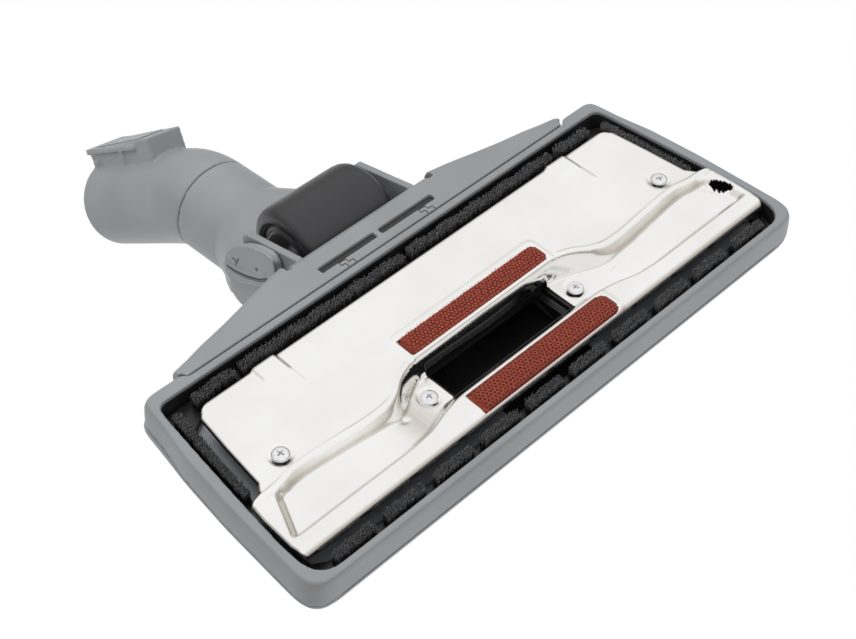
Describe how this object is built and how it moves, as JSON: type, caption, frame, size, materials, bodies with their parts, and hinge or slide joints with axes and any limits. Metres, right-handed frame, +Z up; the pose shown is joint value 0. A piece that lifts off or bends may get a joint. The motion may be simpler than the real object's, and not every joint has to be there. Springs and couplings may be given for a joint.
{
  "type": "vacuum cleaner floor nozzle",
  "caption": "Combination floor nozzle with a polished metal sole, lint strips, retractable bristles, rear roller, tilting neck and swivel elbow with tube socket.",
  "frame": {"origin": "centre of the bounding box, at floor level", "axes": "+Z up away from the floor, -Y towards the front edge, +Y along the neck towards the tube socket, X across the width"},
  "size_m": [0.285, 0.3374, 0.1353],
  "materials": {
    "body_plastic": "fine-grained moulded grey",
    "carriage_plastic": "fine-grained moulded grey",
    "cover_plastic": "fine-grained moulded grey",
    "neck_plastic": "smooth moulded grey",
    "elbow_plastic": "smooth moulded grey",
    "clip_plastic": "smooth moulded grey",
    "latch_plastic": "smooth moulded grey",
    "sole_metal": "polished pressed sheet",
    "screw_steel": "zinc bright",
    "pin_steel": "ground",
    "lint_pile": "directional pile",
    "carrier_plastic": "moulded black",
    "duct_plastic": "moulded black",
    "gasket_rubber": "soft black",
    "roller_tread": "soft charcoal",
    "roller_core": "moulded black",
    "bearing_plastic": "low-friction black",
    "frame_plastic": "moulded black",
    "bristle": "black filament",
    "pedal_plastic": "moulded charcoal"
  },
  "bodies": {
    "base": {"chassis": "body_plastic", "rear_carriage": "carriage_plastic", "upper_cover": "cover_plastic", "sole_plate": "sole_metal", "sole_screw_outer_left": "screw_steel", "sole_screw_outer_right": "screw_steel", "sole_screw_inner_left": "screw_steel", "sole_screw_inner_right": "screw_steel", "front_lint_strip": "lint_pile", "rear_lint_strip": "lint_pile", "front_lint_carrier": "carrier_plastic", "rear_lint_carrier": "carrier_plastic", "suction_duct": "duct_plastic", "mouth_gasket": "gasket_rubber", "roller_axle": "pin_steel", "pedal_pin": "pin_steel"},
    "roller_wheel": {"roller": "roller_tread", "roller_hub": "roller_core"},
    "neck": {"tilt_neck": "neck_plastic", "pivot_clip_left": "clip_plastic", "pivot_clip_right": "clip_plastic", "swivel_bearing": "bearing_plastic"},
    "elbow": {"swivel_elbow": "elbow_plastic", "latch_pin": "pin_steel", "tube_seal": "gasket_rubber"},
    "latch": {"latch_lever": "latch_plastic"},
    "brushes": {"brush_frame": "frame_plastic", "rear_bristle_row": "bristle", "left_bristle_row": "bristle", "right_bristle_row": "bristle", "front_bristle_tufts": "bristle", "lift_yoke": "frame_plastic"},
    "pedal": {"foot_pedal": "pedal_plastic"}
  },
  "joints": [
    {"name": "neck_tilt", "type": "hinge", "parent": "base", "child": "neck", "pos_m": [0, -0.0155, 0.028], "axis": [1, 0, 0], "range_deg": [-10, 28]},
    {"name": "roller_spin", "type": "hinge", "parent": "base", "child": "roller_wheel", "pos_m": [0, -0.0155, 0.028], "axis": [1, 0, 0], "continuous": true},
    {"name": "elbow_swivel", "type": "hinge", "parent": "neck", "child": "elbow", "pos_m": [0, 0.0713, 0.0705], "axis": [0, 0.9962, 0.0872], "continuous": true},
    {"name": "latch_press", "type": "hinge", "parent": "elbow", "child": "latch", "pos_m": [-0.0005, 0.14212, 0.07387], "axis": [-0.9848, -0.0151, 0.173], "range_deg": [0, 5], "stiffness_Nm_per_rad": 0.4, "springref_deg": -5.73},
    {"name": "pedal_rock", "type": "hinge", "parent": "base", "child": "pedal", "pos_m": [0, -0.1305, 0.0322], "axis": [1, 0, 0], "range_deg": [0, 18]},
    {"name": "brush_drop", "type": "slide", "parent": "base", "child": "brushes", "axis": [0, 0, -1], "range_m": [0, 0.0046]}
  ],
  "couplings": [
    {"joint": "pedal_rock", "follows": "brush_drop", "rad_per_m": 68}
  ]
}
